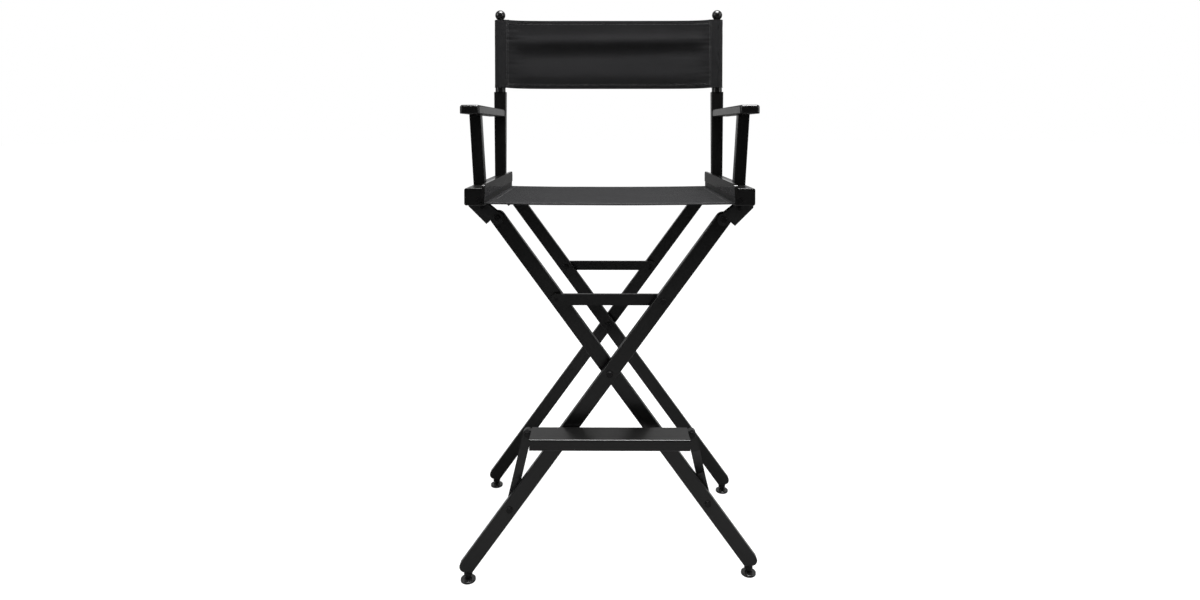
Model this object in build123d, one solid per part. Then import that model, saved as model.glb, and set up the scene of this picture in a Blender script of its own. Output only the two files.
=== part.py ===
from build123d import *
import math
import os

# Tall folding director chair.  Millimetres.  X is across the chair, -Y is the front, +Z is up.
# The origin is on the floor under the middle of the chair's overall width and depth.
# The right-hand pieces are at +X.  Inner legs run from the right foot to the left rail,
# outer legs from the left foot to the right rail.

# ---- crossed legs
crossing_height = 420.0
top_pivot_height = 728.0
top_pivot_half_span = 225.2
leg_width = 30.0
leg_thickness = 16.0
leg_gap = 9.0
leg_foot_height = 20.0
leg_frame_depth = 396.0
leg_edge_round = 1.6
leg_toe_round = 11.0

# ---- swivel feet
foot_stem_inset = 8.8
foot_stem_radius = 4.0
foot_stem_depth = 14.0
foot_collar_radius = 8.5
foot_collar_height = 7.0
ball_height = 9.0
ball_radius = 6.0
pad_radius = 15.0
pad_height = 5.0
cup_radius = 7.6
cup_rim_rise = -1.0

# ---- seat rails, keeper strips and hinge brackets
rail_length = 420.0
rail_front_overhang = 12.0
rail_from_pivot = 20.3
rail_width = 39.5
rail_height = 34.0
rail_above_pivot = 29.0
rail_edge_round = 4.0
keeper_thickness = 6.0
keeper_height = 25.0
keeper_above_rail = 8.0
keeper_inset = 1.2
keeper_corner_round = 9.0
bracket_plate = 2.0
bracket_side_gap = 0.3
bracket_ear_radius = 12.5
bracket_apex_out = 21.8
bracket_apex_drop = 12.0
bracket_lip = 5.0
bracket_ear_step = 10.0
rivet_out = 30.5
rivet_rise = 22.0
rivet_radius = 2.5
rivet_head_radius = 4.5
rivet_head_height = 1.8
rail_screw_radius = 2.0
rail_screw_head_radius = 3.8
rail_screw_head_height = 1.6
rail_screw_length = 18.0
rail_screw_out = (40.0, 51.0)

# ---- seat canvas held by dowels
dowel_radius = 4.0
dowel_from_rail_face = 9.5
dowel_above_rail_base = 9.0
seat_canvas_thickness = 1.0
canvas_wrap_clearance = 0.3
groove_clearance = 0.4

# ---- posts and arms
front_post_width = 24.0
front_post_depth = 22.0
front_post_from_leg_front = 70.0
front_post_foot_out = 44.4
front_post_lean_out = 8.4
arm_base_height = 937.0
arm_thickness = 17.5
arm_width = 39.0
arm_from_pivot = 29.5
arm_edge_round = 7.0
arm_top_round = 5.0
rear_post_from_leg_front = 349.0
rear_post_depth = 22.0
rear_post_out = 41.9
rear_post_foot_width = 26.0
rear_post_head_width = 29.0
rear_post_top = 997.6
post_edge_round = 1.8
tenon_radius = 6.0
tenon_length = 17.0
arm_tenon_length = 11.0
plug_radius = 5.0
plug_proud = 0.4
arm_bolt_radius = 3.0
arm_bolt_head_radius = 7.0
arm_bolt_head_height = 3.0
arm_bolt_length = 50.0

# ---- back canvas on round poles
pole_radius = 12.0
pole_neck_radius = 12.5
pole_neck_height = 12.4
pole_tenon_radius = 7.0
pole_tenon_length = 20.0
back_canvas_base = 1008.0
back_canvas_height = 166.4
back_canvas_thickness = 1.2
pole_below_canvas_top = 2.4
chair_height = 1199.0
finial_radius = 12.5
finial_tenon_radius = 5.0
finial_tenon_length = 12.0

# ---- spreader bars
spreader_height = 565.0
bar_height = 22.4
bar_thickness = 8.0
bar_end_radius = 12.0
stud_radius = 4.0
hook_clearance = 0.4
hook_turn_ratio = 1.3
hook_flare = 2.5

# ---- footrest
footrest_pin_from_end = 10.0
footrest_depth = 60.0
footrest_thickness = 22.0
footrest_base_height = 295.0
footrest_edge_round = 3.0
footrest_pin_inset = 36.6
footrest_pin_height = 301.0
footrest_foot_height = 147.0
footrest_arm_width = 18.0
footrest_arm_thickness = 12.0
footrest_arm_straight = 58.0
footrest_arm_slope_end = 124.0
footrest_arm_round = 1.2
strap_thickness = 2.5
strap_clearance = 1.5
strap_half_height = 8.0
strap_short_length = 58.0
strap_slot_margin = 1.0
strap_screw_spacing = 16.0
strap_screw_radius = 2.0
strap_screw_head_radius = 3.6
strap_screw_head_height = 1.2
strap_screw_length = 14.0
pin_head_height = 3.0

# ---- bolts, nuts and running fits
bolt_radius = 4.0
bolt_head_radius = 6.5
bolt_head_height = 4.0
thin_head_height = 3.0
running_fit = 0.05
face_gap = 0.1
arm_side_gap = 0.5
spacer_radius = 11.0

# ---- the fold: half of the angle between the legs when the chair is folded, degrees
folded_half_angle = 4.0

# ---------------------------------------------------------------- derived positions
tan_leg = top_pivot_half_span / (top_pivot_height - crossing_height)
leg_angle = math.atan(tan_leg)
footrest_reach = footrest_depth + strap_thickness + strap_clearance
leg_front = (footrest_reach - (rail_length - rail_front_overhang)) / 2
leg_rear = leg_front + leg_frame_depth
rail_front = leg_front - rail_front_overhang
rail_rear = rail_front + rail_length

# Depth ranges of the four legs.
outer_front = (leg_front, leg_front + leg_thickness)
inner_front = (outer_front[1] + leg_gap, outer_front[1] + leg_gap + leg_thickness)
outer_rear = (leg_rear - leg_thickness, leg_rear)
inner_rear = (outer_rear[0] - leg_gap - leg_thickness, outer_rear[0] - leg_gap)

foot_x = (crossing_height - leg_foot_height) * tan_leg - foot_stem_inset
spreader_x = (spreader_height - crossing_height) * tan_leg
footrest_foot_x = (crossing_height - footrest_foot_height) * tan_leg
footrest_pin_half_span = footrest_foot_x - footrest_pin_inset
footrest_half_length = footrest_pin_half_span - footrest_pin_from_end

rail_base = top_pivot_height + rail_above_pivot
rail_top = rail_base + rail_height
rail_in = top_pivot_half_span + rail_from_pivot
rail_out = rail_in + rail_width
keeper_in = rail_in - keeper_inset
keeper_out = keeper_in + keeper_thickness
keeper_top = rail_top + keeper_above_rail
keeper_base = keeper_top - keeper_height
dowel_x = rail_in + dowel_from_rail_face
dowel_z = rail_base + dowel_above_rail_base
seat_wrap_in = dowel_radius + canvas_wrap_clearance
seat_wrap_out = seat_wrap_in + seat_canvas_thickness
groove_radius = seat_wrap_out + groove_clearance

front_post_x = top_pivot_half_span + front_post_foot_out
front_post_head_x = front_post_x + front_post_lean_out
front_post_y = leg_front + front_post_from_leg_front
rear_post_x = top_pivot_half_span + rear_post_out
rear_post_y = leg_front + rear_post_from_leg_front
pole_y = rear_post_y + rear_post_depth / 2
arm_in = top_pivot_half_span + arm_from_pivot
arm_out = arm_in + arm_width
arm_top = arm_base_height + arm_thickness
back_canvas_top = back_canvas_base + back_canvas_height
pole_top = back_canvas_top - pole_below_canvas_top
finial_z = chair_height - finial_radius

footrest_front = leg_front - footrest_reach
footrest_back = footrest_front + footrest_depth
strap_back = footrest_back + strap_thickness
arm_head_front = strap_back + arm_side_gap


# ---------------------------------------------------------------- small builders
def block(x0, x1, y0, y1, z0, z1):
    """A box between two corners."""
    return Pos((x0 + x1) / 2, (y0 + y1) / 2, (z0 + z1) / 2) * Box(x1 - x0, y1 - y0, z1 - z0)


def slab(outline, y0, y1):
    """An outline drawn in X and Z, given depth from y0 to y1."""
    placed = Plane.XZ.offset(-y1) * outline
    return extrude(placed, amount=y1 - y0, dir=(0, -1, 0))


def rod_y(x, z, radius, y0, y1):
    """A round bar along the depth of the chair."""
    return Pos(x, (y0 + y1) / 2, z) * Rot(90, 0, 0) * Cylinder(radius, y1 - y0)


def rod_z(x, y, radius, z0, z1):
    """A round upright bar."""
    return Pos(x, y, (z0 + z1) / 2) * Cylinder(radius, z1 - z0)


def rod_x(y, z, radius, x0, x1):
    """A round bar across the chair."""
    return Pos((x0 + x1) / 2, y, z) * Rot(0, 90, 0) * Cylinder(radius, x1 - x0)


def nut_y(x, z, y0, y1):
    """A hexagonal nut whose hole fits the standard bolt."""
    hexagon = Pos(x, z) * (RegularPolygon(bolt_head_radius, 6) - Circle(bolt_radius))
    return slab(hexagon, y0, y1)


def ease(solid, radius, keep=None):
    """Round the edges of the faces that look along Y, or along another given axis."""
    axis = keep or Axis.Y
    edges = ShapeList()
    for face in solid.faces().filter_by(axis):
        edges += face.edges()
    return fillet(edges, radius)


def flip(shape):
    """The same piece for the other side of the chair."""
    return mirror(shape, Plane.YZ)


def save(name, *solids):
    """Write one piece, or a set of like pieces, to its own file."""
    shape = solids[0] if len(solids) == 1 else Compound(children=list(solids))
    shape.label = name
    export_step(shape, f"parts/{name}.step")


# ---------------------------------------------------------------- legs
def leg_blank(depth_range):
    """A leg that rises towards +X, with a round head and a foot cut level with the floor."""
    along = (math.sin(leg_angle), math.cos(leg_angle))
    across = (math.cos(leg_angle), -math.sin(leg_angle))
    half = leg_width / 2
    run = (top_pivot_height - leg_foot_height) / math.cos(leg_angle) + leg_width
    head = (top_pivot_half_span, top_pivot_height)
    tail = (head[0] - run * along[0], head[1] - run * along[1])
    corners = []
    for end, side in ((head, 1), (head, -1), (tail, -1), (tail, 1)):
        corners.append((end[0] + side * half * across[0], end[1] + side * half * across[1]))
    outline = Polygon(*corners, align=None) + Pos(*head) * Circle(half)
    floor_cut = Pos(tail[0], leg_foot_height - leg_width) * Rectangle(6 * leg_width, 2 * leg_width)
    outline = outline - floor_cut
    toe = outline.vertices().sort_by(Axis.X)[0]
    outline = fillet(toe, leg_toe_round)
    return ease(slab(outline, *depth_range), leg_edge_round)


def foot_hole():
    """The blind hole for the foot stem in a leg that stands at -X."""
    return rod_z(-foot_x, 0, foot_stem_radius, leg_foot_height - 1, leg_foot_height + foot_stem_depth)


def make_leg(depth_range, has_footrest_bolt):
    """A finished leg rising towards +X, with its foot, crossing, spreader and pivot holes."""
    y0, y1 = depth_range
    middle = (y0 + y1) / 2
    hole = bolt_radius + running_fit
    leg = leg_blank(depth_range)
    leg -= rod_y(0, crossing_height, hole, y0 - 1, y1 + 1)
    leg -= rod_y(top_pivot_half_span, top_pivot_height, hole, y0 - 1, y1 + 1)
    leg -= rod_y(spreader_x, spreader_height, stud_radius, y0 - 1, y1 + 1)
    leg -= Pos(0, middle, 0) * foot_hole()
    if has_footrest_bolt:
        leg -= rod_y(-footrest_foot_x, footrest_foot_height, bolt_radius, y0 - 1, y1 + 1)
    return leg


def foot_stem(x, y):
    """A stem with a collar under the leg and a ball at its lower end."""
    stem = rod_z(x, y, foot_stem_radius, ball_height, leg_foot_height + foot_stem_depth)
    stem += rod_z(x, y, foot_collar_radius, leg_foot_height - foot_collar_height, leg_foot_height)
    stem += Pos(x, y, ball_height) * Sphere(ball_radius)
    return stem


def foot_pad(x, y):
    """A round pad with a cup that turns on the ball."""
    disc = rod_z(x, y, pad_radius, 0, pad_height)
    disc = fillet(disc.edges(), pad_height / 4)
    pad = disc + rod_z(x, y, cup_radius, pad_height / 2, ball_height + cup_rim_rise)
    pad -= Pos(x, y, ball_height) * Sphere(ball_radius + running_fit)
    return pad


outer_front_leg = make_leg(outer_front, True)
outer_rear_leg = make_leg(outer_rear, False)
inner_front_leg = flip(make_leg(inner_front, True))
inner_rear_leg = flip(make_leg(inner_rear, False))


# ---------------------------------------------------------------- bolts through the legs
def bolt(x, z, head_face, tip, head_height, radius=bolt_radius, head=bolt_head_radius):
    """A bolt along Y: a round head standing on head_face, and a shank to tip."""
    outward = 1 if head_face > tip else -1
    crown = head_face + outward * head_height
    shank = rod_y(x, z, radius, min(head_face, tip), max(head_face, tip))
    cap = rod_y(x, z, head, min(head_face, crown), max(head_face, crown))
    cap = fillet(cap.edges().sort_by(Axis.Y)[-1 if outward > 0 else 0], head_height / 3)
    return shank + cap


def crossing_set():
    """Bolts, nuts and spacer rings where the legs cross, front and rear."""
    bolts = []
    nuts = []
    rings = []
    front_head = outer_front[0] - face_gap
    bolts.append(bolt(0, crossing_height, front_head, inner_front[1] + bolt_head_height, bolt_head_height))
    nuts.append(nut_y(0, crossing_height, inner_front[1], inner_front[1] + bolt_head_height))
    nut_face = outer_rear[1] + face_gap
    bolts.append(bolt(0, crossing_height, inner_rear[0], nut_face + bolt_head_height, bolt_head_height))
    nuts.append(nut_y(0, crossing_height, nut_face, nut_face + bolt_head_height))
    ring = Pos(0, crossing_height) * (Circle(spacer_radius) - Circle(bolt_radius))
    rings.append(slab(ring, outer_front[1] + 2 * face_gap, inner_front[0]))
    rings.append(slab(ring, inner_rear[1], outer_rear[0] - 2 * face_gap))
    return bolts, nuts, rings


crossing_bolts, crossing_nuts, crossing_rings = crossing_set()

# ---------------------------------------------------------------- spreader bars
bar_side_gap = (leg_gap - bar_thickness) / 2
bar_front = (outer_front[1] + bar_side_gap, inner_front[0] - bar_side_gap)
bar_rear = (inner_rear[1] + bar_side_gap, outer_rear[0] - bar_side_gap)


def spreader_bar(depth_range):
    """A flat bar with a pivot hole at its left end and an open hook at its right end."""
    # The hook's mouth follows the first movement of the stud as the chair folds.
    slide_x = -(spreader_height - crossing_height)
    slide_z = spreader_x - hook_turn_ratio * 2 * spreader_x
    length = math.hypot(slide_x, slide_z)
    slide_x /= length
    slide_z /= length
    reach = 2 * bar_end_radius
    inner_half = stud_radius + hook_clearance
    outer_half = inner_half + hook_flare
    outline = Pos(0, spreader_height) * Rectangle(2 * spreader_x, bar_height)
    outline += Pos(-spreader_x, spreader_height) * Circle(bar_end_radius)
    outline += Pos(spreader_x, spreader_height) * Circle(bar_end_radius)
    mouth = []
    for distance, half in ((0, inner_half), (reach, outer_half), (reach, -outer_half), (0, -inner_half)):
        mouth_x = spreader_x + distance * slide_x - half * slide_z
        mouth_z = spreader_height + distance * slide_z + half * slide_x
        mouth.append((mouth_x, mouth_z))
    outline -= Polygon(*mouth, align=None)
    outline -= Pos(spreader_x, spreader_height) * Circle(inner_half)
    outline -= Pos(-spreader_x, spreader_height) * Circle(stud_radius + running_fit)
    return slab(outline, *depth_range)


spreader_pins = [
    bolt(-spreader_x, spreader_height, inner_front[1], bar_front[0], thin_head_height, stud_radius),
    bolt(-spreader_x, spreader_height, inner_rear[0], bar_rear[1], thin_head_height, stud_radius),
]
spreader_studs = [
    bolt(spreader_x, spreader_height, outer_front[0], bar_front[1], thin_head_height, stud_radius),
    bolt(spreader_x, spreader_height, outer_rear[1], bar_rear[0], thin_head_height, stud_radius),
]


# ---------------------------------------------------------------- hinge brackets
def bracket(depth_range):
    """A steel clevis under the right rail: two plates beside the leg and a flange against the rail."""
    apex = (top_pivot_half_span + bracket_apex_out, top_pivot_height - bracket_apex_drop)
    rise = rail_base - bracket_lip - apex[1]
    outer = apex[0] + rise
    outline = Polygon(
        (outer, rail_base),
        (rail_in, rail_base),
        (top_pivot_half_span, top_pivot_height + bracket_ear_radius),
        (top_pivot_half_span, top_pivot_height),
        (apex[0] - bracket_ear_step, apex[1] + bracket_ear_step),
        apex,
        (outer, rail_base - bracket_lip),
        align=None,
    )
    outline += Pos(top_pivot_half_span, top_pivot_height) * Circle(bracket_ear_radius)
    near = depth_range[0] - bracket_side_gap - bracket_plate
    far = depth_range[1] + bracket_side_gap + bracket_plate
    body = slab(outline, near, near + bracket_plate)
    body += slab(outline, far - bracket_plate, far)
    body += block(rail_in, outer, near, far, rail_base - bracket_plate, rail_base)
    pivot_hole = bolt_radius + running_fit
    body -= rod_y(top_pivot_half_span, top_pivot_height, pivot_hole, near - 1, far + 1)
    rivet_x = top_pivot_half_span + rivet_out
    body -= rod_y(rivet_x, top_pivot_height + rivet_rise, rivet_radius, near - 1, far + 1)
    middle = (near + far) / 2
    for out in rail_screw_out:
        screw_x = top_pivot_half_span + out
        body -= rod_z(screw_x, middle, rail_screw_radius, rail_base - 2 * bracket_plate, rail_base + 1)
    return body


def bracket_rivet(depth_range):
    """The cross rivet through both plates of one bracket."""
    x = top_pivot_half_span + rivet_out
    z = top_pivot_height + rivet_rise
    near = depth_range[0] - bracket_side_gap - bracket_plate
    far = depth_range[1] + bracket_side_gap + bracket_plate
    shank = rod_y(x, z, rivet_radius, near, far)
    front = rod_y(x, z, rivet_head_radius, near - rivet_head_height, near)
    front = fillet(front.edges().sort_by(Axis.Y)[0], rivet_head_height / 2)
    rear = rod_y(x, z, rivet_head_radius, far, far + rivet_head_height)
    rear = fillet(rear.edges().sort_by(Axis.Y)[-1], rivet_head_height / 2)
    return shank + front + rear


def rail_screws(depth_range):
    """Screws driven up through a bracket's flange into the right rail."""
    middle = (depth_range[0] + depth_range[1]) / 2
    under = rail_base - bracket_plate
    made = []
    for out in rail_screw_out:
        x = top_pivot_half_span + out
        screw = rod_z(x, middle, rail_screw_radius, under, under + rail_screw_length)
        screw += rod_z(x, middle, rail_screw_head_radius, under - rail_screw_head_height, under)
        made.append(screw)
    return made


def pivot_bolt_and_nut(depth_range, head_at_front):
    """The bolt and nut on which a leg turns in its bracket."""
    near = depth_range[0] - bracket_side_gap - bracket_plate
    far = depth_range[1] + bracket_side_gap + bracket_plate
    x = top_pivot_half_span
    z = top_pivot_height
    grip = bolt_head_height
    if head_at_front:
        return bolt(x, z, near, far + grip, thin_head_height), nut_y(x, z, far, far + grip)
    return bolt(x, z, far, near - grip, thin_head_height), nut_y(x, z, near - grip, near)


# ---------------------------------------------------------------- one side of the seat and back
def seat_rail(leg_ranges):
    """The right seat rail, with its canvas groove, keeper rebate and joinery holes."""
    rail = block(rail_in, rail_out, rail_front, rail_rear, rail_base, rail_top)
    outside = rail.edges().filter_by(Axis.Y).group_by(Axis.X)[-1]
    rail = fillet(outside, rail_edge_round)
    rail = fillet(rail.edges().filter_by(Axis.X), leg_edge_round)
    rail -= rod_y(dowel_x, dowel_z, groove_radius, rail_front - 1, rail_rear + 1)
    sheet_base = dowel_z - seat_wrap_out - groove_clearance
    sheet_top = dowel_z - seat_wrap_in + groove_clearance
    rail -= block(rail_in - 1, dowel_x, rail_front - 1, rail_rear + 1, sheet_base, sheet_top)
    rail -= block(rail_in - 1, keeper_out, rail_front - 1, rail_rear + 1, keeper_base, rail_top + 1)
    tenon_base = rail_top - tenon_length
    post_middle = front_post_y + front_post_depth / 2
    rail -= rod_z(front_post_x, post_middle, tenon_radius, tenon_base, rail_top + 1)
    rail -= rod_z(rear_post_x, pole_y, tenon_radius, tenon_base, rail_top + 1)
    for depth_range in leg_ranges:
        for screw in rail_screws(depth_range):
            rail -= screw
    for y in keeper_screw_places():
        rail -= keeper_screw(y)
    return rail


def keeper_screw_places():
    """Even places for the screws along a keeper strip."""
    step = rail_length / 5
    return [rail_front + step * (i + 0.5) for i in range(5)]


def keeper_screw(y):
    """A small screw through the keeper strip into the right rail."""
    z = (keeper_base + rail_top) / 2
    screw = rod_x(y, z, 1.5, keeper_in, keeper_out + 7)
    return screw + rod_x(y, z, 2.2, keeper_in, keeper_in + 0.8)


def keeper_strip():
    """The thin strip let into the right rail's inner face above the canvas."""
    strip = block(keeper_in, keeper_out, rail_front, rail_rear, keeper_base, keeper_top)
    top_corners = strip.edges().filter_by(Axis.X).group_by(Axis.Z)[-1]
    strip = fillet(top_corners, keeper_corner_round)
    for y in keeper_screw_places():
        strip -= keeper_screw(y)
    return strip


def front_post():
    """The right front post, leaning outwards, with a tenon at each end."""
    half = front_post_width / 2
    outline = Polygon(
        (front_post_x - half, rail_top),
        (front_post_x + half, rail_top),
        (front_post_head_x + half, arm_base_height),
        (front_post_head_x - half, arm_base_height),
        align=None,
    )
    post = slab(outline, front_post_y, front_post_y + front_post_depth)
    uprights = [e for e in post.edges() if abs(e.tangent_at(0).Z) > 0.9]
    post = fillet(uprights, post_edge_round)
    middle = front_post_y + front_post_depth / 2
    post += rod_z(front_post_x, middle, tenon_radius, rail_top - tenon_length, rail_top + 2)
    tenon_top = arm_base_height + arm_tenon_length
    post += rod_z(front_post_head_x, middle, tenon_radius, arm_base_height - 2, tenon_top)
    return post


def rear_post():
    """The right rear post, with a tenon below and a socket for the round pole above."""
    outline = Polygon(
        (rear_post_x - rear_post_foot_width / 2, rail_top),
        (rear_post_x + rear_post_foot_width / 2, rail_top),
        (rear_post_x + rear_post_head_width / 2, rear_post_top),
        (rear_post_x - rear_post_head_width / 2, rear_post_top),
        align=None,
    )
    post = slab(outline, rear_post_y, rear_post_y + rear_post_depth)
    uprights = [e for e in post.edges() if abs(e.tangent_at(0).Z) > 0.9]
    post = fillet(uprights, post_edge_round)
    post += rod_z(rear_post_x, pole_y, tenon_radius, rail_top - tenon_length, rail_top + 2)
    socket_base = rear_post_top - pole_tenon_length
    post -= rod_z(rear_post_x, pole_y, pole_tenon_radius, socket_base, rear_post_top + 1)
    post -= arm_bolt()
    return post


def arm_rest():
    """The right arm: a flat board from the front overhang to the rear post."""
    arm = block(arm_in, arm_out, rail_front, rear_post_y, arm_base_height, arm_top)
    arm = fillet(arm.edges().filter_by(Axis.Z).group_by(Axis.Y)[0], arm_edge_round)
    top_edges = arm.faces().sort_by(Axis.Z)[-1].edges().sort_by(Axis.Y)[:-1]
    arm = fillet(top_edges, arm_top_round)
    arm = fillet(arm.faces().sort_by(Axis.Z)[0].edges().sort_by(Axis.Y)[:-1], leg_edge_round)
    middle = front_post_y + front_post_depth / 2
    arm -= rod_z(front_post_head_x, middle, tenon_radius, arm_base_height - 1, arm_base_height + arm_tenon_length)
    arm -= rod_z(front_post_head_x, middle, plug_radius, arm_base_height, arm_top + 1)
    arm -= arm_bolt()
    return arm


def arm_plug():
    """The wooden plug over the front post's tenon."""
    middle = front_post_y + front_post_depth / 2
    plug_base = arm_base_height + arm_tenon_length
    return rod_z(front_post_head_x, middle, plug_radius, plug_base, arm_top + plug_proud)


def arm_bolt():
    """The bolt from behind the rear post into the end of the arm."""
    z = arm_base_height + arm_thickness / 2
    face = rear_post_y + rear_post_depth
    tip = face - arm_bolt_length
    return bolt(rear_post_x, z, face, tip, arm_bolt_head_height, arm_bolt_radius, arm_bolt_head_radius)


def back_pole():
    """The round pole that carries the back canvas, with a thicker neck and a tenon."""
    pole = rod_z(rear_post_x, pole_y, pole_radius, rear_post_top, pole_top)
    pole += rod_z(rear_post_x, pole_y, pole_neck_radius, rear_post_top, rear_post_top + pole_neck_height - 3)
    pole += rod_z(rear_post_x, pole_y, pole_tenon_radius, rear_post_top - pole_tenon_length, rear_post_top)
    pole -= rod_z(rear_post_x, pole_y, finial_tenon_radius, pole_top - finial_tenon_length, pole_top + 1)
    return pole


def finial():
    """The ball on top of a pole, with its tenon."""
    ball = Pos(rear_post_x, pole_y, finial_z) * Sphere(finial_radius)
    return ball + rod_z(rear_post_x, pole_y, finial_tenon_radius, pole_top - finial_tenon_length, finial_z)


def seat_dowel():
    """The dowel inside the canvas hem in the right rail's groove."""
    return rod_y(dowel_x, dowel_z, dowel_radius, rail_front + 0.5, rail_rear - 0.5)


def seat_canvas():
    """The seat cloth: a flat sheet with a hem round the dowel in each rail."""
    ring = Circle(seat_wrap_out) - Circle(seat_wrap_in)
    sheet_z = dowel_z - seat_wrap_out + seat_canvas_thickness / 2
    outline = Pos(0, sheet_z) * Rectangle(2 * dowel_x, seat_canvas_thickness)
    for side in (-1, 1):
        outline += Pos(side * dowel_x, dowel_z) * ring
    return slab(outline, rail_front, rail_rear)


def back_canvas():
    """The back cloth: a flat sheet with a sleeve round each pole."""
    sleeve_in = pole_radius + canvas_wrap_clearance + face_gap
    sleeve_out = sleeve_in + back_canvas_thickness
    sheet_y = pole_y - sleeve_out + back_canvas_thickness / 2
    outline = Pos(0, sheet_y) * Rectangle(2 * rear_post_x, back_canvas_thickness)
    for side in (-1, 1):
        outline += Pos(side * rear_post_x, pole_y) * (Circle(sleeve_out) - Circle(sleeve_in))
    return extrude(Plane.XY.offset(back_canvas_base) * outline, amount=back_canvas_height, dir=(0, 0, 1))


# ---------------------------------------------------------------- footrest
footrest_lean = math.atan2(
    footrest_foot_x - footrest_pin_half_span, footrest_pin_height - footrest_foot_height
)
footrest_arm_length = math.hypot(
    footrest_foot_x - footrest_pin_half_span, footrest_pin_height - footrest_foot_height
)


def footrest_arm(side, foot_front):
    """A flat arm from a front leg to the footrest, cranked forwards between its two pivots."""
    half = footrest_arm_width / 2
    thick = footrest_arm_thickness
    length = footrest_arm_length
    outline = Pos(0, length / 2) * Rectangle(footrest_arm_width, length)
    outline += Circle(half)
    outline += Pos(0, length) * Circle(half)
    outline -= Circle(bolt_radius + running_fit)
    outline -= Pos(0, length) * Circle(stud_radius + (running_fit if side < 0 else 0))
    bar = slab(outline, arm_head_front - 1, foot_front + thick + 1)
    bends = (footrest_arm_straight, footrest_arm_slope_end)
    crank = Polygon(
        (foot_front, -half - 1),
        (foot_front, bends[0]),
        (arm_head_front, bends[1]),
        (arm_head_front, length + half + 1),
        (arm_head_front + thick, length + half + 1),
        (arm_head_front + thick, bends[1]),
        (foot_front + thick, bends[0]),
        (foot_front + thick, -half - 1),
        align=None,
    )
    crank = extrude(Plane.YZ.offset(-half - 1) * crank, amount=footrest_arm_width + 2, dir=(1, 0, 0))
    arm = bar & crank
    place = Pos(side * footrest_foot_x, 0, footrest_foot_height)
    return place * Rot(0, -side * math.degrees(footrest_lean), 0) * arm


def slot_travel():
    """How far the right pin slides along the right strap between the open and the folded chair."""
    furthest = 0.0
    nearest = 0.0
    fold = 2 * (math.degrees(leg_angle) - folded_half_angle)
    for step in range(201):
        half_turn = math.radians(fold * step / 200) / 2
        arm_turn = 1.8 * half_turn
        swing = leg_angle - half_turn
        down = (crossing_height - footrest_foot_height) / math.cos(leg_angle)
        foot_now = down * math.sin(swing)
        pin_now = foot_now + footrest_arm_length * math.sin(arm_turn - footrest_lean)
        shift = 2 * (pin_now - footrest_pin_half_span)
        furthest = max(furthest, shift)
        nearest = min(nearest, shift)
    return nearest, furthest


slot_in, slot_out = slot_travel()
right_slot_in = footrest_pin_half_span + slot_in - strap_slot_margin
right_slot_out = footrest_pin_half_span + slot_out + strap_slot_margin
long_strap_in = right_slot_in - stud_radius - strap_screw_spacing - strap_half_height


def strap_screw_places(side):
    """X places of the two screws that hold a strap to the back of the footrest board."""
    if side < 0:
        edge = footrest_half_length - strap_screw_head_radius - 3
        return [-edge, -edge + strap_screw_spacing]
    edge = right_slot_in - stud_radius - strap_screw_head_radius - 2
    return [edge, edge - strap_screw_spacing]


def strap_screw(x):
    """A screw through a strap into the footrest board, its head let in flush."""
    z = footrest_pin_height
    return bolt(
        x, z, strap_back - strap_screw_head_height, strap_back - strap_screw_length,
        strap_screw_head_height, strap_screw_radius, strap_screw_head_radius,
    )


def footrest_strap(side):
    """A steel strap behind the board: a round eye on the left, a long slot on the right."""
    z = footrest_pin_height
    if side < 0:
        outer = -footrest_pin_half_span
        inner = outer + strap_short_length
        outline = Pos((outer + inner) / 2, z) * Rectangle(inner - outer, 2 * strap_half_height)
        outline += Pos(outer, z) * Circle(strap_half_height)
        outline -= Pos(outer, z) * Circle(stud_radius)
    else:
        outline = Pos((right_slot_out + long_strap_in) / 2, z) * Rectangle(
            right_slot_out - long_strap_in, 2 * strap_half_height
        )
        outline += Pos(right_slot_out, z) * Circle(strap_half_height)
        opening = stud_radius + running_fit
        middle = (right_slot_in + right_slot_out) / 2
        outline -= Pos(middle, z) * Rectangle(right_slot_out - right_slot_in, 2 * opening)
        outline -= Pos(right_slot_in, z) * Circle(opening)
        outline -= Pos(right_slot_out, z) * Circle(opening)
    strap = slab(outline, footrest_back, strap_back)
    for x in strap_screw_places(side):
        strap -= strap_screw(x)
    return strap


def footrest_board():
    """The footrest board, with a shallow channel at the back for the sliding pin's head."""
    half = footrest_half_length
    base = footrest_base_height
    board = block(-half, half, footrest_front, footrest_back, base, base + footrest_thickness)
    board = fillet(board.edges().filter_by(Axis.X), footrest_edge_round)
    channel_top = footrest_pin_height + bolt_head_radius + 1
    channel_in = right_slot_in - bolt_head_radius - 1
    channel_front = footrest_back - pin_head_height - 1
    board -= block(channel_in, half + 1, channel_front, footrest_back + 1, base - 1, channel_top)
    for side in (-1, 1):
        for x in strap_screw_places(side):
            board -= strap_screw(x)
    return board


def footrest_pins():
    """The left pin is fixed to its strap, the right one to its arm."""
    x = footrest_pin_half_span
    z = footrest_pin_height
    arm_back = arm_head_front + footrest_arm_thickness
    left = bolt(-x, z, footrest_back, arm_back + face_gap + thin_head_height, pin_head_height, stud_radius)
    left += rod_y(-x, z, bolt_head_radius, arm_back + face_gap, arm_back + face_gap + thin_head_height)
    right_head = footrest_back - face_gap
    right = bolt(x, z, right_head, arm_back, pin_head_height, stud_radius)
    right += rod_y(x, z, bolt_head_radius, arm_back, arm_back + thin_head_height)
    return left, right


def footrest_rivet(side):
    """The lower pivot rivet of a footrest arm, fixed in its leg, with a head at both ends."""
    leg_range = outer_front if side < 0 else inner_front
    far_face = leg_range[1] + arm_side_gap + footrest_arm_thickness + face_gap
    x = side * footrest_foot_x
    z = footrest_foot_height
    rivet = bolt(x, z, leg_range[0], far_face + thin_head_height, thin_head_height)
    return rivet + rod_y(x, z, bolt_head_radius, far_face, far_face + thin_head_height)


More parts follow.
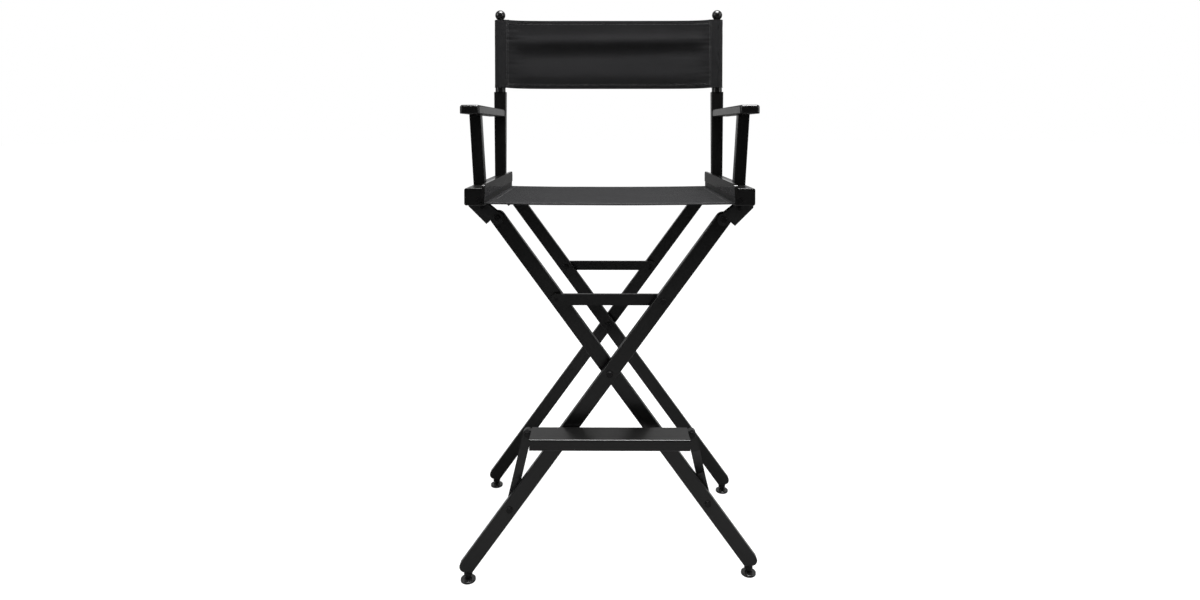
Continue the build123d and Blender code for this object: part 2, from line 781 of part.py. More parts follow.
# ---------------------------------------------------------------- write every piece
os.makedirs("parts", exist_ok=True)

save("outer_front_leg", outer_front_leg)
save("outer_rear_leg", outer_rear_leg)
save("inner_front_leg", inner_front_leg)
save("inner_rear_leg", inner_rear_leg)

leg_middle = {name: sum(span) / 2 for name, span in (
    ("outer_front", outer_front), ("outer_rear", outer_rear),
    ("inner_front", inner_front), ("inner_rear", inner_rear),
)}
save("outer_foot_stems", foot_stem(-foot_x, leg_middle["outer_front"]), foot_stem(-foot_x, leg_middle["outer_rear"]))
save("inner_foot_stems", foot_stem(foot_x, leg_middle["inner_front"]), foot_stem(foot_x, leg_middle["inner_rear"]))
save("outer_foot_pads", foot_pad(-foot_x, leg_middle["outer_front"]), foot_pad(-foot_x, leg_middle["outer_rear"]))
save("inner_foot_pads", foot_pad(foot_x, leg_middle["inner_front"]), foot_pad(foot_x, leg_middle["inner_rear"]))

save("crossing_bolts", *crossing_bolts)
save("crossing_nuts", *crossing_nuts)
save("crossing_spacers", *crossing_rings)
save("spreader_pins", *spreader_pins)
save("spreader_studs", *spreader_studs)
save("front_spreader_bar", spreader_bar(bar_front))
save("rear_spreader_bar", spreader_bar(bar_rear))

# The right side hangs on the outer legs, the left side on the inner legs.
for side_name, leg_ranges, turn in (
    ("right", (outer_front, outer_rear), lambda shape: shape),
    ("left", (inner_front, inner_rear), flip),
):
    front_bolt, front_nut = pivot_bolt_and_nut(leg_ranges[0], True)
    rear_bolt, rear_nut = pivot_bolt_and_nut(leg_ranges[1], False)
    screws = rail_screws(leg_ranges[0]) + rail_screws(leg_ranges[1])
    save(f"{side_name}_brackets", *[turn(bracket(span)) for span in leg_ranges])
    save(f"{side_name}_bracket_rivets", *[turn(bracket_rivet(span)) for span in leg_ranges])
    save(f"{side_name}_pivot_bolts", turn(front_bolt), turn(rear_bolt))
    save(f"{side_name}_pivot_nuts", turn(front_nut), turn(rear_nut))
    save(f"{side_name}_rail_screws", *[turn(screw) for screw in screws])
    save(f"{side_name}_seat_rail", turn(seat_rail(leg_ranges)))
    save(f"{side_name}_keeper_strip", turn(keeper_strip()))
    save(f"{side_name}_keeper_screws", *[turn(keeper_screw(y)) for y in keeper_screw_places()])
    save(f"{side_name}_seat_dowel", turn(seat_dowel()))
    save(f"{side_name}_front_post", turn(front_post()))
    save(f"{side_name}_rear_post", turn(rear_post()))
    save(f"{side_name}_arm", turn(arm_rest()))
    save(f"{side_name}_arm_plug", turn(arm_plug()))
    save(f"{side_name}_arm_bolt", turn(arm_bolt()))
    save(f"{side_name}_back_pole", turn(back_pole()))
    save(f"{side_name}_finial", turn(finial()))

save("seat_canvas", seat_canvas())
save("back_canvas", back_canvas())

save("footrest_board", footrest_board())
save("footrest_left_strap", footrest_strap(-1))
save("footrest_right_strap", footrest_strap(1))
strap_screws = [strap_screw(x) for side in (-1, 1) for x in strap_screw_places(side)]
save("footrest_strap_screws", *strap_screws)
left_pin, right_pin = footrest_pins()
save("footrest_left_pin", left_pin)
save("footrest_right_pin", right_pin)
save("footrest_left_arm", footrest_arm(-1, outer_front[1] + arm_side_gap))
save("footrest_right_arm", footrest_arm(1, inner_front[1] + arm_side_gap))
save("footrest_left_rivet", footrest_rivet(-1))
save("footrest_right_rivet", footrest_rivet(1))
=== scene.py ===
import math

import bpy
import numpy as np
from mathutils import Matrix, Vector, noise


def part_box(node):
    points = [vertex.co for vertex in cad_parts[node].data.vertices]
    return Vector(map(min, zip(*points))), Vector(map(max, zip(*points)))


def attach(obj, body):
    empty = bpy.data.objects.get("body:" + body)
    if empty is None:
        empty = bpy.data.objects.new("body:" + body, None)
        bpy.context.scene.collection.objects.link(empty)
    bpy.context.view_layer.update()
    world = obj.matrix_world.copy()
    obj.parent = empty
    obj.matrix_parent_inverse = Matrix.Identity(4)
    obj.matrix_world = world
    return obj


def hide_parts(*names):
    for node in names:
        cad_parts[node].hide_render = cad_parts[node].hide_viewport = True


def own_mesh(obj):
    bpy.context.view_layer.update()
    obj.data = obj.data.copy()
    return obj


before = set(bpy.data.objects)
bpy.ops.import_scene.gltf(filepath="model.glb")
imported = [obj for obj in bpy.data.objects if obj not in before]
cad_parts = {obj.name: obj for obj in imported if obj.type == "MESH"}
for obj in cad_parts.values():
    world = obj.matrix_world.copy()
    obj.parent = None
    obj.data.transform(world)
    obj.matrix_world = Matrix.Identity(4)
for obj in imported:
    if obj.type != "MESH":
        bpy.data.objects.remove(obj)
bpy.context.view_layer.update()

# ---------------------------------------------------------------- places taken from the frame
outer_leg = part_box("outer_front_leg")
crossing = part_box("crossing_bolts")
crossing_z = (crossing[0][2] + crossing[1][2]) / 2
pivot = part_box("right_pivot_bolts")
pivot_x = (pivot[0][0] + pivot[1][0]) / 2
pivot_z = (pivot[0][2] + pivot[1][2]) / 2
leg_lean = math.atan2(pivot_x, pivot_z - crossing_z)
right_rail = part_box("right_seat_rail")
right_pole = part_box("right_back_pole")
pole_x = (right_pole[0][0] + right_pole[1][0]) / 2
pole_y = (right_pole[0][1] + right_pole[1][1]) / 2
seat_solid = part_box("seat_canvas")
back_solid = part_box("back_canvas")
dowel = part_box("right_seat_dowel")
dowel_x = (dowel[0][0] + dowel[1][0]) / 2
dowel_z = (dowel[0][2] + dowel[1][2]) / 2
dowel_radius = (dowel[1][2] - dowel[0][2]) / 2

seat_front, seat_rear = seat_solid[0][1], seat_solid[1][1]
back_base, back_top = back_solid[0][2], back_solid[1][2]
seat_cloth = 0.0010
back_cloth = 0.0012
seat_wrap = dowel_radius + 0.0003 + seat_cloth / 2
back_wrap = 0.0124 + back_cloth / 2
seat_edge = right_rail[0][0] - 0.0015
back_seam = pole_x - 0.0141


# ---------------------------------------------------------------- material tools
class Tone:
    """A socket of a material, with arithmetic on it written as plain expressions."""

    def __init__(self, finish, socket):
        self.finish = finish
        self.socket = socket

    def _with(self, operation, first, second):
        return self.finish.node("ShaderNodeMath", {"operation": operation}, {0: first, 1: second})

    def __add__(self, other):
        return self._with("ADD", self, other)

    def __radd__(self, other):
        return self._with("ADD", other, self)

    def __sub__(self, other):
        return self._with("SUBTRACT", self, other)

    def __rsub__(self, other):
        return self._with("SUBTRACT", other, self)

    def __mul__(self, other):
        return self._with("MULTIPLY", self, other)

    def __rmul__(self, other):
        return self._with("MULTIPLY", other, self)

    def __pow__(self, other):
        return self._with("POWER", self, other)

    def sine(self):
        return self._with("SINE", self, 0.0)


class Finish:
    """A material and its nodes."""

    def __init__(self, name, **shader_values):
        self.material = bpy.data.materials.new(name)
        self.material.use_nodes = True
        self.tree = self.material.node_tree
        self.tree.nodes.clear()
        self.output = self.tree.nodes.new("ShaderNodeOutputMaterial")
        self.shader = self.tree.nodes.new("ShaderNodeBsdfPrincipled")
        self.tree.links.new(self.shader.outputs[0], self.output.inputs[0])
        for socket, value in shader_values.items():
            self.shader.inputs[socket.replace("_", " ")].default_value = value

    def node(self, kind, settings=None, sockets=None, output=0):
        """Add a node, set it up, fill its sockets, and give back one output."""
        made = self.tree.nodes.new(kind)
        for key, value in (settings or {}).items():
            if key == "stops":
                ramp = made.color_ramp
                for place, colour in value[2:]:
                    ramp.elements.new(place)
                for element, (place, colour) in zip(ramp.elements, sorted(value)):
                    element.position = place
                    element.color = colour
            else:
                setattr(made, key, value)
        for key, value in (sockets or {}).items():
            socket = made.inputs[key]
            if isinstance(value, Tone):
                self.tree.links.new(value.socket, socket)
            else:
                socket.default_value = value
        return Tone(self, made.outputs[output])

    def place(self, turn=(0, 0, 0), scale=(1, 1, 1)):
        """Object coordinates, turned and scaled."""
        where = self.node("ShaderNodeTexCoord", output="Object")
        return self.node(
            "ShaderNodeMapping", {"vector_type": "TEXTURE"},
            {"Vector": where, "Rotation": turn, "Scale": scale},
        )

    def grain(self, where, scale, detail=3.0, rough=0.55):
        """Soft noise between 0 and 1."""
        return self.node(
            "ShaderNodeTexNoise", {},
            {"Vector": where, "Scale": scale, "Detail": detail, "Roughness": rough},
        )

    def shade(self, amount, dark, light):
        """A colour between two others."""
        return self.node(
            "ShaderNodeMix", {"data_type": "RGBA"},
            {0: amount, 6: (*dark, 1), 7: (*light, 1)}, output=2,
        )

    def dress(self, socket, tone):
        self.tree.links.new(tone.socket, self.shader.inputs[socket])

    def bump(self, height, strength, distance):
        self.dress("Normal", self.node(
            "ShaderNodeBump", {}, {"Height": height, "Strength": strength, "Distance": distance},
        ))


# ---------------------------------------------------------------- finishes
def lacquered_wood(name, turn, stretch, roughness=0.24):
    """Black lacquer over open-grained beech, with the grain running along the piece."""
    finish = Finish(name, Coat_Weight=0.12, Coat_Roughness=0.10, Specular_IOR_Level=0.45)
    along = finish.place(turn, stretch)
    pores = finish.grain(along, 900.0, 4.0, 0.6)
    bands = finish.grain(along, 160.0, 2.0, 0.5)
    open_place = finish.place()
    clouds = finish.grain(open_place, 14.0, 3.0, 0.5)
    rubbed = finish.grain(open_place, 55.0, 5.0, 0.7)
    finish.dress("Base Color", finish.shade(bands * 0.6 + clouds * 0.4, (0.0014, 0.0014, 0.0014), (0.0044, 0.0042, 0.0041)))
    finish.dress("Roughness", roughness + 0.10 * clouds + 0.10 * (rubbed ** 2.0))
    finish.bump(0.7 * pores + 0.3 * bands, 0.16, 0.0006)
    return finish.material


def gloss_lacquer(name):
    """Polished black lacquer on the keeper strips."""
    finish = Finish(name, Coat_Weight=0.5, Coat_Roughness=0.05, Specular_IOR_Level=0.5)
    along = finish.place((0, 0, 0), (1, 9, 1))
    pores = finish.grain(along, 700.0, 3.0)
    clouds = finish.grain(finish.place(), 18.0, 4.0)
    finish.dress("Base Color", finish.shade(clouds, (0.004, 0.004, 0.004), (0.011, 0.0105, 0.010)))
    finish.dress("Roughness", 0.12 + 0.12 * clouds)
    finish.bump(pores, 0.08, 0.0005)
    return finish.material


def powder_coat(name):
    """Black powder-coated steel with a fine orange-peel skin."""
    finish = Finish(name, Specular_IOR_Level=0.5)
    where = finish.place()
    peel = finish.grain(where, 1500.0, 2.0)
    clouds = finish.grain(where, 40.0, 4.0)
    finish.dress("Base Color", finish.shade(clouds, (0.006, 0.006, 0.0063), (0.016, 0.016, 0.0165)))
    finish.dress("Roughness", 0.36 + 0.16 * clouds)
    finish.bump(peel, 0.25, 0.0004)
    return finish.material


def blackened_steel(name):
    """Blackened bolts, rivets and screws, a little rubbed."""
    finish = Finish(name, Specular_IOR_Level=0.5)
    where = finish.place()
    rubbed = finish.grain(where, 260.0, 5.0, 0.65)
    fine = finish.grain(where, 2600.0, 2.0)
    finish.dress("Base Color", finish.shade(rubbed ** 1.5, (0.006, 0.006, 0.007), (0.040, 0.039, 0.038)))
    finish.dress("Metallic", 0.55 + 0.4 * rubbed)
    finish.dress("Roughness", 0.28 + 0.22 * rubbed)
    finish.bump(fine, 0.12, 0.0003)
    return finish.material


def glide_plastic(name):
    """Hard glossy black plastic of the foot pads, scuffed by the floor."""
    finish = Finish(name, Specular_IOR_Level=0.5, Coat_Weight=0.2)
    where = finish.place()
    scuffs = finish.grain(finish.place((0, 0, 0.6), (1, 6, 1)), 500.0, 4.0, 0.7)
    clouds = finish.grain(where, 60.0, 3.0)
    finish.dress("Base Color", finish.shade(clouds, (0.006, 0.006, 0.006), (0.015, 0.015, 0.015)))
    finish.dress("Roughness", 0.14 + 0.2 * (scuffs ** 2.0))
    finish.bump(scuffs, 0.1, 0.0004)
    return finish.material


def woven_canvas(name, pitch, light):
    """Heavy plain-weave cotton: warp and weft follow the cut, with slubs and faded patches; the thread crowns
    are painted lighter and the gaps between threads painted darker, as painted highlight and painted shade of
    the weave.
    """
    finish = Finish(name, Sheen_Weight=0.10, Sheen_Roughness=0.45, Specular_IOR_Level=0.12)
    finish.shader.inputs["Sheen Tint"].default_value = (0.5, 0.5, 0.52, 1)
    cut = finish.node("ShaderNodeTexCoord", output="UV")
    across = finish.node("ShaderNodeSeparateXYZ", {}, {0: cut}, output=0)
    down = finish.node("ShaderNodeSeparateXYZ", {}, {0: cut}, output=1)
    turns = 2 * math.pi / pitch
    warp = (across * (turns / 2)).sine()
    weft = (down * (turns / 2)).sine()
    checker = warp * weft
    over = 0.5 + 0.5 * checker
    threads = (warp ** 2.0) * over + (weft ** 2.0) * (1 - over)
    slub_across = finish.grain(finish.node(
        "ShaderNodeMapping", {"vector_type": "TEXTURE"}, {"Vector": cut, "Scale": (14, 1, 1)}), 1500.0, 2.0)
    slub_down = finish.grain(finish.node(
        "ShaderNodeMapping", {"vector_type": "TEXTURE"}, {"Vector": cut, "Scale": (1, 14, 1)}), 1500.0, 2.0)
    slubs = 0.5 * slub_across + 0.5 * slub_down
    worn = finish.grain(cut, 9.0, 4.0, 0.55)
    lint = finish.grain(cut, 240.0, 5.0, 0.7)
    # Colour: the weave mask paints the thread crowns lighter and the gaps between threads darker (painted
    # highlight and painted shade), mixed with the real slubs and faded patches of the yarn; the dark end is 40%
    # of the light colour.
    tone = 0.45 * threads + 0.3 * slubs + 0.25 * worn
    dark = tuple(0.40 * c for c in light)
    finish.dress("Base Color", finish.shade(tone, dark, light))
    finish.dress("Roughness", 0.72 + 0.16 * worn + 0.08 * lint)
    finish.bump(0.75 * threads + 0.25 * slubs, 0.55, 0.0004)
    return finish.material


def sewing_thread(name):
    """Waxed black thread with a fine twist."""
    finish = Finish(name, Sheen_Weight=0.15, Specular_IOR_Level=0.4)
    where = finish.place((0.5, 0.4, 0.3))
    twist = finish.grain(where, 2200.0, 2.0)
    finish.dress("Base Color", finish.shade(twist, (0.012, 0.012, 0.012), (0.05, 0.05, 0.05)))
    finish.dress("Roughness", 0.45 + 0.2 * twist)
    finish.bump(twist, 0.3, 0.0003)
    return finish.material


def with_material(piece, material):
    piece.data.materials.clear()
    piece.data.materials.append(material)


outer_leg_wood = lacquered_wood("outer leg lacquer", (0, leg_lean, 0), (1, 1, 26))
inner_leg_wood = lacquered_wood("inner leg lacquer", (0, -leg_lean, 0), (1, 1, 26))
lengthwise_wood = lacquered_wood("rail and arm lacquer", (0, 0, 0), (1, 26, 1))
upright_wood = lacquered_wood("post and pole lacquer", (0, 0, 0), (1, 1, 26))
crosswise_wood = lacquered_wood("bar and footrest lacquer", (0, 0, 0), (26, 1, 1), 0.30)
strip_gloss = gloss_lacquer("keeper strip gloss")
bracket_coat = powder_coat("bracket powder coat")
fastener_black = blackened_steel("blackened fasteners")
glide_black = glide_plastic("foot pad plastic")
# Seat and back are the same canvas, but the back gets a colour twice as light as the seat's: painted light and
# shade standing in for how differently the upward-facing seat and the upright back are lit.
seat_weave_painted_darker = woven_canvas("seat canvas weave", 0.0011, (0.0085, 0.0085, 0.009))
back_weave_painted_lighter = woven_canvas("back canvas weave", 0.0011, (0.017, 0.017, 0.018))
thread_black = sewing_thread("black sewing thread")

node_finish = {
    "outer_front_leg": outer_leg_wood, "outer_rear_leg": outer_leg_wood,
    "inner_front_leg": inner_leg_wood, "inner_rear_leg": inner_leg_wood,
    "front_spreader_bar": crosswise_wood, "rear_spreader_bar": crosswise_wood,
    "footrest_board": crosswise_wood,
    "footrest_left_arm": upright_wood, "footrest_right_arm": upright_wood,
    "footrest_left_strap": bracket_coat, "footrest_right_strap": bracket_coat,
    "inner_foot_pads": glide_black, "outer_foot_pads": glide_black,
    "inner_foot_stems": fastener_black, "outer_foot_stems": fastener_black,
}
for side in ("left", "right"):
    node_finish[f"{side}_brackets"] = bracket_coat
    node_finish[f"{side}_seat_rail"] = lengthwise_wood
    node_finish[f"{side}_arm"] = lengthwise_wood
    node_finish[f"{side}_arm_plug"] = lengthwise_wood
    node_finish[f"{side}_seat_dowel"] = lengthwise_wood
    node_finish[f"{side}_keeper_strip"] = strip_gloss
    for part in ("front_post", "rear_post", "back_pole", "finial"):
        node_finish[f"{side}_{part}"] = upright_wood
for name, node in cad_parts.items():
    with_material(node, node_finish.get(name, fastener_black))


# ---------------------------------------------------------------- cloth tools
def nothing_selected():
    if bpy.context.object and bpy.context.object.mode != "OBJECT":
        bpy.ops.object.mode_set(mode="OBJECT")
    bpy.ops.object.select_all(action="DESELECT")


def cloth(name, columns, rows, place, cut, thickness, material):
    """A sheet of cloth: a fine grid laid along a path, with its cut as its UV map."""
    nothing_selected()
    bpy.ops.mesh.primitive_grid_add(x_subdivisions=columns, y_subdivisions=rows, size=1)
    sheet = bpy.context.object
    sheet.name = name
    mesh = sheet.data
    grid = [(v.co.x + 0.5, v.co.y + 0.5) for v in mesh.vertices]
    for vertex, (u, v) in zip(mesh.vertices, grid):
        vertex.co = place(u, v)
    uv = mesh.uv_layers.active or mesh.uv_layers.new(name="UVMap")
    for loop in mesh.loops:
        uv.data[loop.index].uv = cut(*grid[loop.vertex_index])
    layer = sheet.modifiers.new("thickness", "SOLIDIFY")
    layer.thickness = thickness
    layer.offset = 0
    layer.use_even_offset = True
    bpy.ops.object.modifier_apply(modifier="thickness")
    bpy.ops.object.mode_set(mode="EDIT")
    bpy.ops.mesh.select_all(action="SELECT")
    bpy.ops.mesh.normals_make_consistent(inside=False)
    bpy.ops.object.mode_set(mode="OBJECT")
    bpy.ops.object.shade_smooth_by_angle(angle=math.radians(50))
    with_material(sheet, material)
    return sheet


def stitches(name, rows, radius=0.00042, length=0.0027, pitch=0.0036):
    """Rows of sewn stitches; each row is a list of (point, direction out of the cloth)."""
    nothing_selected()
    bpy.ops.mesh.primitive_uv_sphere_add(segments=8, ring_count=5, radius=1)
    bead = bpy.context.object
    bpy.ops.object.mode_set(mode="EDIT")
    bpy.ops.mesh.select_all(action="SELECT")
    bpy.ops.transform.resize(value=(radius, radius, length / 2))
    bpy.ops.object.mode_set(mode="OBJECT")
    shape = np.array([v.co for v in bead.data.vertices])
    faces = [tuple(p.vertices) for p in bead.data.polygons]
    points, polygons = [], []
    for path in rows:
        line = np.array([p for p, _ in path], float)
        outs = np.array([o for _, o in path], float)
        steps = np.linalg.norm(np.diff(line, axis=0), axis=1)
        run = np.concatenate([[0], np.cumsum(steps)])
        for s in np.arange(pitch / 2, run[-1], pitch):
            here = np.array([np.interp(s, run, line[:, k]) for k in range(3)])
            ahead = np.array([np.interp(min(s + 0.001, run[-1]), run, line[:, k]) for k in range(3)])
            behind = np.array([np.interp(max(s - 0.001, 0), run, line[:, k]) for k in range(3)])
            out = np.array([np.interp(s, run, outs[:, k]) for k in range(3)])
            along = ahead - behind
            along /= np.linalg.norm(along)
            out = out - along * (out @ along)
            out /= np.linalg.norm(out)
            side = np.cross(along, out)
            base = len(points)
            turn = np.stack([side, out, along], axis=1)
            points.extend(map(tuple, here + shape @ turn.T))
            polygons.extend(tuple(i + base for i in f) for f in faces)
    mesh = bpy.data.meshes.new(name)
    mesh.from_pydata(points, [], polygons)
    bpy.data.objects.remove(bead)
    sewn = bpy.data.objects.new(name, mesh)
    bpy.context.collection.objects.link(sewn)
    for polygon in mesh.polygons:
        polygon.use_smooth = True
    with_material(sewn, thread_black)
    return sewn


def ripple(x, y, z=0.0):
    """Smooth wrinkle noise from -1 to 1."""
    return noise.noise(Vector((x, y, z)))


def smooth(t):
    t = min(1.0, max(0.0, t))
    return t * t * (3 - 2 * t)


# ---------------------------------------------------------------- back canvas
def back_droop(x):
    """How far the sheet hangs below its sleeves, growing quickly away from each seam."""
    inside = max(0.0, back_seam - abs(x))
    return -0.0034 * (1 - math.exp(-inside / 0.028))


def back_sheet(x, v):
    """The front sheet between the sleeve seams, with long tension folds and puckers."""
    height = back_top - back_base
    z = back_base + v * height + back_droop(x)
    reach = smooth((back_seam - abs(x)) / 0.05)
    fold = 0.0030 * math.exp(-((v - 0.70 - 0.05 * x) / 0.085) ** 2)
    fold -= 0.0026 * math.exp(-((v - 0.50 - 0.12 * x) / 0.10) ** 2)
    fold += 0.0024 * math.exp(-((v - 0.18) / 0.12) ** 2)
    fold += 0.0012 * ripple(x * 5.0, v * 2.2, 3.1) + 0.0005 * ripple(x * 16.0, v * 5.0, 7.7)
    near_seam = math.exp(-max(0.0, back_seam - abs(x)) / 0.035)
    pucker = 0.0009 * near_seam * ripple(x * 12.0, v * 26.0, 1.3) * smooth((back_seam - abs(x)) / 0.006)
    y = pole_y - back_wrap - reach * fold - pucker
    return Vector((x, y, z))


def sleeve_path(count):
    """(x, y, length) along a right sleeve's cross-section, from the front seam round the pole and back."""
    start = (back_seam, pole_y - back_wrap)
    points = [start]
    turn_end = math.radians(170.0)
    steps = 40
    for i in range(steps + 1):
        a = -math.pi / 2 + (turn_end + math.pi / 2) * i / steps
        points.append((pole_x + back_wrap * math.cos(a), pole_y + back_wrap * math.sin(a)))
    points.append((back_seam + 0.0005, pole_y - back_wrap + 0.0019))
    points.append((back_seam - 0.0085, pole_y - back_wrap + 0.0024))
    line = np.array(points)
    run = np.concatenate([[0], np.cumsum(np.linalg.norm(np.diff(line, axis=0), axis=1))])
    where = np.linspace(0, run[-1], count + 1)
    return [(np.interp(s, run, line[:, 0]), np.interp(s, run, line[:, 1]), s) for s in where], run[-1]


sleeve_line, sleeve_length = sleeve_path(96)


def sleeve_place(side):
    def place(u, v):
        x, y, s = sleeve_line[round(u * 96)]
        height = back_top - back_base
        z = back_base + v * height
        slack = 0.0004 * ripple(s * 40.0, v * 9.0, side * 4.0)
        out = Vector((x - pole_x, y - pole_y, 0)).normalized() * max(0.0, slack)
        return Vector((side * (x + out.x), y + out.y, z))
    return place


back_width = 2 * back_seam
back_height = back_top - back_base
back_panel = cloth(
    "back_canvas_sheet", 220, 72,
    lambda u, v: back_sheet((u - 0.5) * back_width, v),
    lambda u, v: ((u - 0.5) * back_width, v * back_height),
    back_cloth, back_weave_painted_lighter,
)
sleeves = {}
for side, label in ((-1, "left"), (1, "right")):
    sleeves[label] = cloth(
        f"back_canvas_{label}_sleeve", 96, 60, sleeve_place(side),
        lambda u, v: (u * sleeve_length, v * back_height),
        back_cloth, back_weave_painted_lighter,
    )


def hem_strip(name, x_half, low, high, lift):
    """A folded hem: a second layer of cloth sewn along an edge of the back sheet."""
    def place(u, v):
        x = (2 * u - 1) * x_half
        at = low + (high - low) * v
        point = back_sheet(x, at)
        return Vector((point.x, point.y + lift, point.z))
    return cloth(
        name, 200, 4, place,
        lambda u, v: ((2 * u - 1) * x_half, (low + (high - low) * v) * back_height + 0.0005),
        back_cloth, back_weave_painted_lighter,
    )


hem_share = 0.012 / back_height
back_hems = [
    hem_strip("back_canvas_bottom_hem", back_seam - 0.024, 0.002, hem_share, back_cloth * 1.02),
    hem_strip("back_canvas_top_hem", back_seam - 0.024, 1 - hem_share, 0.998, back_cloth * 1.02),
]


def back_row(v, x_half):
    row = []
    for i in range(161):
        point = back_sheet(-x_half + 2 * x_half * i / 160, v)
        row.append((tuple(point + Vector((0, -back_cloth * 0.55, 0))), (0, -1, 0)))
    return row


def seam_row(x, side):
    row = []
    for i in range(41):
        point = back_sheet(side * x, 0.01 + 0.98 * i / 40)
        row.append((tuple(point + Vector((0, -back_cloth * 0.55, 0))), (0, -1, 0)))
    return row


back_stitching = stitches("back_canvas_stitching", [
    back_row(0.052, back_seam - 0.004), back_row(0.068, back_seam - 0.004),
    back_row(0.945, back_seam - 0.004),
    seam_row(back_seam - 0.003, 1), seam_row(back_seam - 0.0065, 1),
    seam_row(back_seam - 0.003, -1), seam_row(back_seam - 0.0065, -1),
])


# ---------------------------------------------------------------- seat canvas
def seat_sheet(x, y):
    """The seat sheet between the rails, pulled tight with a slight dip and cross-wise ripples."""
    depth = seat_rear - seat_front
    t = abs(x) / seat_edge
    pulled = 1 - smooth((t - 0.90) / 0.10)
    dip = -0.0022 * (1 - t * t)
    fine = 0.0007 * ripple(x * 4.0, y * 9.0, 2.0) + 0.0004 * ripple(x * 9.0, y * 22.0, 5.0)
    edge_pull = 0.0008 * math.exp(-(seat_edge - abs(x)) / 0.03) * ripple(x * 10.0, y * 60.0, 8.0)
    z = dowel_z - seat_wrap + dip + pulled * fine + pulled * edge_pull
    return Vector((x, y, z))


seat_panel = cloth(
    "seat_canvas_sheet", 180, 150,
    lambda u, v: seat_sheet((2 * u - 1) * seat_edge, seat_front + v * (seat_rear - seat_front)),
    lambda u, v: ((2 * u - 1) * seat_edge, v * (seat_rear - seat_front)),
    seat_cloth, seat_weave_painted_darker,
)


def seat_roll_place(side):
    """The cloth from the rail's mouth round the dowel in its groove."""
    path = [(seat_edge, dowel_z - seat_wrap)]
    for i in range(41):
        a = -math.pi / 2 + math.radians(300) * i / 40
        path.append((dowel_x + seat_wrap * math.cos(a), dowel_z + seat_wrap * math.sin(a)))
    line = np.array(path)
    run = np.concatenate([[0], np.cumsum(np.linalg.norm(np.diff(line, axis=0), axis=1))])

    def place(u, v):
        s = u * run[-1]
        x = float(np.interp(s, run, line[:, 0]))
        z = float(np.interp(s, run, line[:, 1]))
        return Vector((side * x, seat_front + v * (seat_rear - seat_front), z))
    return place, float(run[-1])


seat_rolls = {}
for side, label in ((-1, "left"), (1, "right")):
    roll_place, roll_length = seat_roll_place(side)
    seat_rolls[label] = cloth(
        f"seat_canvas_{label}_roll", 60, 30, roll_place,
        lambda u, v: (u * roll_length, v * (seat_rear - seat_front)),
        seat_cloth * 0.9, seat_weave_painted_darker,
    )


def seat_hem(name, edge, inward):
    """The folded hem under the front or rear edge of the seat, with its rolled fold."""
    half = seat_edge - 0.004
    width = 0.017

    def place(u, v):
        x = (2 * u - 1) * half
        top = seat_sheet(x, edge + inward * 0.0006)
        if v < 0.3:
            a = math.pi * v / 0.3
            y = edge + inward * (0.0006 - 0.0011 * math.sin(a))
            z = top.z - 0.0006 + 0.0006 * math.cos(a)
        else:
            y = edge + inward * (0.0006 + width * (v - 0.3) / 0.7)
            z = seat_sheet(x, y).z - 0.0012
        return Vector((x, y, z))
    return cloth(name, 160, 20, place, lambda u, v: ((2 * u - 1) * half, v * 0.02), seat_cloth * 0.9, seat_weave_painted_darker)


seat_hems = [
    seat_hem("seat_canvas_front_hem", seat_front, 1),
    seat_hem("seat_canvas_rear_hem", seat_rear, -1),
]


def seat_row(y):
    row = []
    for i in range(161):
        point = seat_sheet((2 * i / 160 - 1) * (seat_edge - 0.006), y)
        row.append((tuple(point + Vector((0, 0, seat_cloth * 0.55))), (0, 0, 1)))
    return row


def seat_side_row(x, side):
    row = []
    for i in range(121):
        point = seat_sheet(side * x, seat_front + 0.003 + (seat_rear - seat_front - 0.006) * i / 120)
        row.append((tuple(point + Vector((0, 0, seat_cloth * 0.55))), (0, 0, 1)))
    return row


seat_stitching = stitches("seat_canvas_stitching", [
    seat_row(seat_front + 0.0135), seat_row(seat_front + 0.0165),
    seat_row(seat_rear - 0.0135), seat_row(seat_rear - 0.0165),
    seat_side_row(seat_edge - 0.010, 1), seat_side_row(seat_edge - 0.010, -1),
])

# ---------------------------------------------------------------- how the cloth moves
for piece in (back_panel, *back_hems, back_stitching):
    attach(piece, "left_side")
    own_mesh(piece)
for piece in (seat_panel, *seat_hems, seat_stitching):
    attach(piece, "left_side")
    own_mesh(piece)
for label in ("left", "right"):
    for piece in (sleeves[label], seat_rolls[label]):
        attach(piece, f"{label}_side")

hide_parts("back_canvas")
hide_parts("seat_canvas")

# ---------------------------------------------------------------- floor, light and camera
nothing_selected()
bpy.ops.mesh.primitive_plane_add(size=60, location=(0, 20.0, -0.0005))
floor = bpy.context.object
floor.name = "studio_floor"
floor_finish = Finish("pale studio floor", Roughness=0.6, Specular_IOR_Level=0.2)
floor_noise = floor_finish.grain(floor_finish.place(), 3.0)
floor_finish.dress("Base Color", floor_finish.shade(floor_noise, (0.20, 0.20, 0.20), (0.22, 0.22, 0.22)))
floor_nodes = floor_finish.material.node_tree
floor_view = floor_nodes.nodes.new("ShaderNodeLightPath")
floor_surface = next(node for node in floor_nodes.nodes if node.type == "BSDF_PRINCIPLED")
floor_surface.inputs["Emission Color"].default_value = (1, 1, 1, 1)
floor_lift = floor_nodes.nodes.new("ShaderNodeMath")
floor_lift.operation = "MULTIPLY"
floor_lift.inputs[1].default_value = 0.95
floor_nodes.links.new(floor_view.outputs["Is Camera Ray"], floor_lift.inputs[0])
floor_nodes.links.new(floor_lift.outputs[0], floor_surface.inputs["Emission Strength"])
with_material(floor, floor_finish.material)

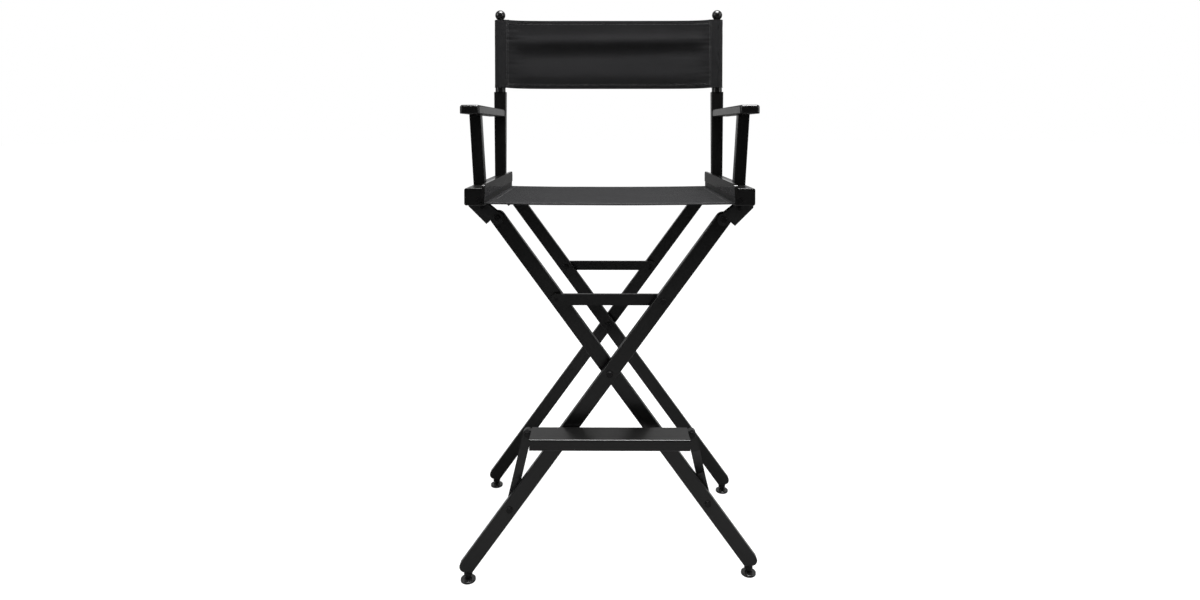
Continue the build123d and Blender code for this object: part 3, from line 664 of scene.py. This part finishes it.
world = bpy.data.worlds.new("soft studio")
bpy.context.scene.world = world
world.use_nodes = True
sky = world.node_tree
sky.nodes.clear()
sky_out = sky.nodes.new("ShaderNodeOutputWorld")
sky_mix = sky.nodes.new("ShaderNodeMixShader")
sky_white = sky.nodes.new("ShaderNodeBackground")
sky_white.inputs["Color"].default_value = (1, 1, 1, 1)
sky_white.inputs["Strength"].default_value = 1.0
sky_walls = sky.nodes.new("ShaderNodeBackground")
sky_view = sky.nodes.new("ShaderNodeLightPath")
sky_place = sky.nodes.new("ShaderNodeTexCoord")
sky_split = sky.nodes.new("ShaderNodeSeparateXYZ")
sky_range = sky.nodes.new("ShaderNodeMapRange")
sky_range.interpolation_type = "SMOOTHSTEP"
for socket, value in ((1, -0.45), (2, 0.7), (3, 0.03), (4, 0.60)):
    sky_range.inputs[socket].default_value = value
sky.links.new(sky_place.outputs["Generated"], sky_split.inputs[0])
sky.links.new(sky_split.outputs["Y"], sky_range.inputs[0])
sky.links.new(sky_range.outputs[0], sky_walls.inputs["Strength"])
sky.links.new(sky_view.outputs["Is Camera Ray"], sky_mix.inputs[0])
sky.links.new(sky_walls.outputs[0], sky_mix.inputs[1])
sky.links.new(sky_white.outputs[0], sky_mix.inputs[2])
sky.links.new(sky_mix.outputs[0], sky_out.inputs["Surface"])


def softbox(name, place, aim, size, power):
    """A large rectangular studio light."""
    light = bpy.data.lights.new(name, "AREA")
    light.shape = "RECTANGLE"
    light.size, light.size_y = size
    light.energy = power
    lamp = bpy.data.objects.new(name, light)
    bpy.context.collection.objects.link(lamp)
    lamp.location = place
    lamp.rotation_euler = (Vector(aim) - Vector(place)).to_track_quat("-Z", "Y").to_euler()
    return lamp


softbox("overhead softbox", (0.2, -0.3, 3.2), (0, 0, 0.6), (1.6, 1.2), 200)
softbox("left strip light", (-2.4, -1.0, 1.9), (0, 0, 0.7), (0.5, 1.8), 22)
softbox("right strip light", (2.4, -0.8, 1.7), (0, 0, 0.7), (0.5, 1.8), 18)

camera_data = bpy.data.cameras.new("front camera")
camera_data.lens = 21.36
camera_data.sensor_width = 36
camera_data.shift_y = -0.1297
camera = bpy.data.objects.new("front camera", camera_data)
bpy.context.collection.objects.link(camera)
camera.location = (-0.0095, -1.5736, 0.9085)
camera.rotation_euler = (math.radians(88.7), 0, math.radians(0.38))
bpy.context.scene.camera = camera
bpy.context.scene.view_settings.view_transform = "Standard"
